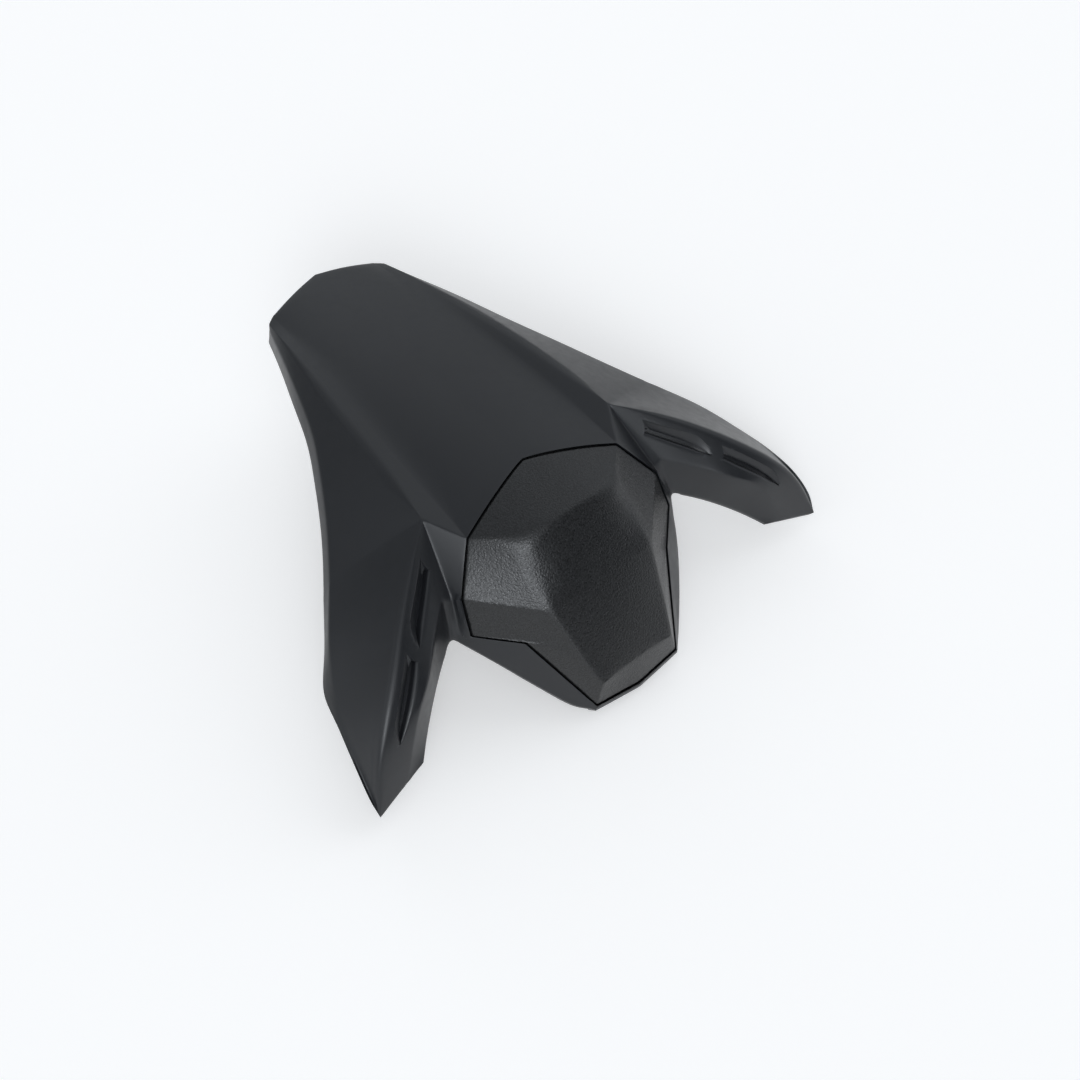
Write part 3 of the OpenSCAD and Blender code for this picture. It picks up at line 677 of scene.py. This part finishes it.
def solid(name, faces):
    return new_object(name, *to_mesh(faces))


shell = skin
shell.name = "cowl_shell_satin"
shell.data.name = "cowl_shell_satin"
combine(shell, new_object("recess", recess_points, recess_polys), "UNION")
for faces in fills:
    for half in (faces, mirrored(faces)):
        combine(shell, solid("fill", half), "UNION")
for faces in cuts:
    for half in (faces, mirrored(faces)):
        combine(shell, solid("cut", half), "DIFFERENCE")
shade(shell, 32)


# Foam pads inside the wings: crowned below, with edges that pull in
def foam_pad():
    rows, cols, near_it, thick = 26, 14, SKIN_DEPTH + 0.4, 5.2
    top, low = [], []
    for i in range(rows + 1):
        t = wing_share(mix(0.2, 0.6, i / rows))
        k, f = spline(RIDGE, t), spline(OUTER, t)
        a, b = [], []
        for j in range(cols + 1):
            p = mix(mix(toward(k, f, WING_R), f, 0.25), f, j / cols)
            u, v = abs(2 * i / rows - 1), abs(2 * j / cols - 1)
            full = (1 - u ** 7) * (1 - v ** 5)
            a.append(inner(p, near_it + 0.9 * (1 - full)))
            b.append(inner(p, near_it + 0.9 + thick * (0.28 + 0.55 * full)))
        top.append(a)
        low.append(b)
    walls = [[mix(p, q, t) for t in (0, 0.2, 0.5, 0.8, 1)] for p, q in zip(
        top[0] + [r[-1] for r in top[1:]] + top[-1][-2::-1] + [r[0] for r in top[-2:0:-1]],
        low[0] + [r[-1] for r in low[1:]] + low[-1][-2::-1] + [r[0] for r in low[-2:0:-1]])]
    return sheet(top) + turned(sheet(low)) + sheet(walls + walls[:1])


pads = []
for name, faces in (("wing_pad_left", mirrored(foam_pad())), ("wing_pad_right", foam_pad())):
    points, polys = to_mesh(faces)
    points = relax(points, polys, np.full(len(points), 0.5), 6, np.full(len(points), 0.6))
    pad = new_object(name + "_foam", points, polys)
    shade(pad, 60)
    pads.append((pad, name))


# Materials
def material(name, build):
    mat = bpy.data.materials.new(name)
    mat.use_nodes = True
    nt = mat.node_tree
    nt.nodes.clear()
    out = nt.nodes.new("ShaderNodeOutputMaterial")
    bsdf = nt.nodes.new("ShaderNodeBsdfPrincipled")
    nt.links.new(bsdf.outputs[0], out.inputs["Surface"])
    build(nt, bsdf)
    return mat


def coords(nt):
    return nt.nodes.new("ShaderNodeTexCoord").outputs["Object"]


def noise(nt, scale, detail=3.0, rough=0.5):
    n = nt.nodes.new("ShaderNodeTexNoise")
    n.inputs["Scale"].default_value = scale
    n.inputs["Detail"].default_value = detail
    n.inputs["Roughness"].default_value = rough
    nt.links.new(coords(nt), n.inputs["Vector"])
    return n.outputs["Fac"]


def spread(nt, fac, lo, hi, at_lo=0.3, at_hi=0.7):
    m = nt.nodes.new("ShaderNodeMapRange")
    m.inputs["From Min"].default_value = at_lo
    m.inputs["From Max"].default_value = at_hi
    m.inputs["To Min"].default_value = lo
    m.inputs["To Max"].default_value = hi
    nt.links.new(fac, m.inputs["Value"])
    return m.outputs["Result"]


def blend(nt, fac, a, b):
    m = nt.nodes.new("ShaderNodeMix")
    m.data_type = "RGBA"
    m.inputs["A"].default_value = (*a, 1)
    m.inputs["B"].default_value = (*b, 1)
    nt.links.new(fac, m.inputs["Factor"])
    return m.outputs["Result"]


def bump(nt, height, distance, strength, under_it=None):
    b = nt.nodes.new("ShaderNodeBump")
    b.inputs["Distance"].default_value = distance
    b.inputs["Strength"].default_value = strength
    nt.links.new(height, b.inputs["Height"])
    if under_it is not None:
        nt.links.new(under_it, b.inputs["Normal"])
    return b.outputs["Normal"]


def painted_edge_highlight(nt):
    """1 on the outward edges, where the shell's colour is lightened as a painted highlight."""
    g = nt.nodes.new("ShaderNodeNewGeometry")
    return spread(nt, g.outputs["Pointiness"], 0.0, 1.0, 0.52, 0.62)


def satin(nt, bsdf):
    body = blend(nt, noise(nt, 25, 4), (0.0105, 0.0115, 0.0135), (0.0130, 0.0140, 0.0165))
    # The outward edges get a lighter colour: a painted highlight along the ridges and rims, not wear.
    edge = nt.nodes.new("ShaderNodeMix")
    edge.data_type = "RGBA"
    edge.inputs["B"].default_value = (0.026, 0.028, 0.031, 1)
    nt.links.new(body, edge.inputs["A"])
    nt.links.new(painted_edge_highlight(nt), edge.inputs["Factor"])
    nt.links.new(edge.outputs["Result"], bsdf.inputs["Base Color"])
    nt.links.new(spread(nt, noise(nt, 180, 5, 0.6), 0.34, 0.41), bsdf.inputs["Roughness"])
    fine = bump(nt, noise(nt, 2600, 2), 0.00003, 0.35)
    nt.links.new(bump(nt, noise(nt, 55, 2), 0.0002, 0.06, fine), bsdf.inputs["Normal"])


def grained(nt, bsdf):
    speck = spread(nt, noise(nt, 1300, 1, 0.5), 0, 1, 0.38, 0.62)
    body = blend(nt, speck, (0.006, 0.0062, 0.0066), (0.019, 0.0195, 0.0205))
    nt.links.new(body, bsdf.inputs["Base Color"])
    cells = nt.nodes.new("ShaderNodeTexVoronoi")
    cells.feature = "SMOOTH_F1"
    cells.inputs["Scale"].default_value = 900
    nt.links.new(coords(nt), cells.inputs["Vector"])
    nt.links.new(spread(nt, cells.outputs["Distance"], 0.24, 0.38, 0.1, 0.6), bsdf.inputs["Roughness"])
    grain = bump(nt, noise(nt, 1700, 1, 0.5), 0.0003, 0.3)
    nt.links.new(bump(nt, cells.outputs["Distance"], 0.0004, 0.4, grain), bsdf.inputs["Normal"])


def moulded(nt, bsdf):
    body = blend(nt, noise(nt, 60, 4), (0.014, 0.014, 0.015), (0.022, 0.022, 0.023))
    nt.links.new(body, bsdf.inputs["Base Color"])
    nt.links.new(spread(nt, noise(nt, 300, 4), 0.48, 0.62), bsdf.inputs["Roughness"])
    nt.links.new(bump(nt, noise(nt, 900, 3), 0.0001, 0.3), bsdf.inputs["Normal"])


def plated(nt, bsdf):
    bsdf.inputs["Metallic"].default_value = 1.0
    body = blend(nt, noise(nt, 120, 5), (0.50, 0.51, 0.53), (0.66, 0.67, 0.68))
    nt.links.new(body, bsdf.inputs["Base Color"])
    nt.links.new(spread(nt, noise(nt, 500, 4), 0.25, 0.42), bsdf.inputs["Roughness"])
    nt.links.new(bump(nt, noise(nt, 1500, 3), 0.00005, 0.25), bsdf.inputs["Normal"])


def rubbery(nt, bsdf):
    body = blend(nt, noise(nt, 90, 4), (0.011, 0.011, 0.011), (0.02, 0.02, 0.02))
    nt.links.new(body, bsdf.inputs["Base Color"])
    nt.links.new(spread(nt, noise(nt, 400, 4), 0.6, 0.8), bsdf.inputs["Roughness"])
    nt.links.new(bump(nt, noise(nt, 1200, 3), 0.00012, 0.4), bsdf.inputs["Normal"])


def foamy(nt, bsdf):
    body = blend(nt, noise(nt, 150, 5), (0.022, 0.022, 0.023), (0.04, 0.04, 0.041))
    nt.links.new(body, bsdf.inputs["Base Color"])
    nt.links.new(spread(nt, noise(nt, 700, 4), 0.8, 0.95), bsdf.inputs["Roughness"])
    cells = nt.nodes.new("ShaderNodeTexVoronoi")
    cells.inputs["Scale"].default_value = 1100
    nt.links.new(coords(nt), cells.inputs["Vector"])
    nt.links.new(bump(nt, cells.outputs["Distance"], 0.0004, 0.6), bsdf.inputs["Normal"])


LOOKS = (("shell_plastic", satin), ("grained_plastic", grained), ("pan_plastic", moulded),
         ("steel", plated), ("rubber", rubbery), ("foam", foamy))
MATS = {name: material(name, build) for name, build in LOOKS}
shell.data.materials.clear()
shell.data.materials.append(MATS["shell_plastic"])
insert.data.materials.append(MATS["grained_plastic"])
for part in frame["record"]["subparts"]:
    obj = frame["nodes"].get(part["node"])
    if obj is not None:
        for k in range(len(obj.material_slots)):
            obj.material_slots[k].material = MATS[part["material_slot"]]

for pad, node in pads:
    pad.data.materials.append(MATS["foam"])
    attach(pad, "root")
    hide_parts(node)
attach(shell, "root")
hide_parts("cowl_shell")
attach(insert, "root")
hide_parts("backrest_insert")

# Floor: a matte plane, lifted a little for the rays that look at it
FLOOR, HALF, FLOOR_LIFT = -0.0815, 3, 0.30
mesh = bpy.data.meshes.new("floor")
mesh.from_pydata([(-HALF, -HALF, FLOOR), (HALF, -HALF, FLOOR), (HALF, HALF, FLOOR), (-HALF, HALF, FLOOR)],
                 [], [(0, 1, 2, 3)])
floor = bpy.data.objects.new("floor", mesh)
bpy.context.scene.collection.objects.link(floor)
pale = bpy.data.materials.new("pale_floor")
pale.use_nodes = True
nt = pale.node_tree
nt.nodes.clear()
out = nt.nodes.new("ShaderNodeOutputMaterial")
matte = nt.nodes.new("ShaderNodeBsdfDiffuse")
matte.inputs["Color"].default_value = (0.90, 0.885, 0.87, 1)
glow = nt.nodes.new("ShaderNodeEmission")
glow.inputs["Color"].default_value = (1.0, 1.0, 1.0, 1)
seen = nt.nodes.new("ShaderNodeLightPath")
both_rays = nt.nodes.new("ShaderNodeMath")
all_rays = nt.nodes.new("ShaderNodeMath")
lift = nt.nodes.new("ShaderNodeMath")
lift.operation = "MULTIPLY"
lift.inputs[1].default_value = FLOOR_LIFT
join = nt.nodes.new("ShaderNodeAddShader")
for node, a, b in ((both_rays, seen.outputs["Is Camera Ray"], seen.outputs["Is Glossy Ray"]),
                   (all_rays, both_rays.outputs[0], seen.outputs["Is Transmission Ray"])):
    node.operation = "MAXIMUM"
    nt.links.new(a, node.inputs[0])
    nt.links.new(b, node.inputs[1])
nt.links.new(all_rays.outputs[0], lift.inputs[0])
nt.links.new(lift.outputs[0], glow.inputs["Strength"])
nt.links.new(matte.outputs[0], join.inputs[0])
nt.links.new(glow.outputs[0], join.inputs[1])
nt.links.new(join.outputs[0], out.inputs["Surface"])
mesh.materials.append(pale)

# World: a pale band at the horizon, soft patches of light above it and two narrow ones, the keys.
# Each row has its direction and strength, and a higher power makes a patch narrower
HORIZON = [((0.87, 0.50, 0), 0.25), ((0.87, -0.50, 0), 1.25), ((0, -1, 0), 0.30), ((-0.87, -0.50, 0), 0.35),
           ((-0.87, 0.50, 0), 0.55), ((0, 1, 0), 0.35)]
PATCHES = [((0.23, 0.88, 0.42), 0.89), ((0.78, 0.45, 0.42), 0.60), ((0.88, -0.23, 0.42), 0.70),
           ((-0.78, -0.45, 0.42), 0.78), ((-0.88, 0.23, 0.42), 1.09), ((-0.45, 0.78, 0.42), 0.14),
           ((0.31, 0.53, 0.79), 0.38), ((0.62, 0, 0.79), 0.80), ((-0.31, -0.53, 0.79), 1.45),
           ((-0.62, 0, 0.79), 0.22), ((-0.31, 0.53, 0.79), 0.23), ((0, 0.09, 1), 0.29)]
KEYS = [((-0.50, -0.69, 0.53), 10.0), ((-0.45, -0.85, 0.28), 1.2)]
BAND_TOP, BAND_END = 0.04, 0.22
HORIZON_POWER, PATCH_POWER, KEY_POWER = 6, 14, 60
world = bpy.data.worlds.new("studio")
bpy.context.scene.world = world
world.use_nodes = True
nt = world.node_tree
nt.nodes.clear()
out = nt.nodes.new("ShaderNodeOutputWorld")
studio = nt.nodes.new("ShaderNodeBackground")
where = nt.nodes.new("ShaderNodeTexCoord").outputs["Generated"]


def maths(operation, a, b):
    node = nt.nodes.new("ShaderNodeMath")
    node.operation = operation
    nt.links.new(a, node.inputs[0])
    if isinstance(b, (int, float)):
        node.inputs[1].default_value = b
    else:
        nt.links.new(b, node.inputs[1])
    return node.outputs[0]


def patches(rows, power):
    """The sum of the rows' patches of light."""
    total = None
    for direction, strength in rows:
        dot = nt.nodes.new("ShaderNodeVectorMath")
        dot.operation = "DOT_PRODUCT"
        dot.inputs[1].default_value = Vector(direction).normalized()
        nt.links.new(where, dot.inputs[0])
        one = maths("POWER", maths("MAXIMUM", dot.outputs["Value"], 0.0), power)
        one = maths("MULTIPLY", one, strength)
        total = one if total is None else maths("ADD", total, one)
    return total


parts = nt.nodes.new("ShaderNodeSeparateXYZ")
nt.links.new(where, parts.inputs[0])
band = nt.nodes.new("ShaderNodeMapRange")
band.interpolation_type = "SMOOTHSTEP"
for key, value in (("From Min", BAND_TOP), ("From Max", BAND_END), ("To Min", 1), ("To Max", 0)):
    band.inputs[key].default_value = value
nt.links.new(parts.outputs["Z"], band.inputs["Value"])
light = maths("MULTIPLY", patches(HORIZON, HORIZON_POWER), band.outputs["Result"])
light = maths("ADD", light, patches(PATCHES, PATCH_POWER))
light = maths("ADD", light, patches(KEYS, KEY_POWER))
nt.links.new(light, studio.inputs["Strength"])
studio.inputs["Color"].default_value = (0.955, 1.0, 1.05, 1)
nt.links.new(studio.outputs[0], out.inputs["Surface"])
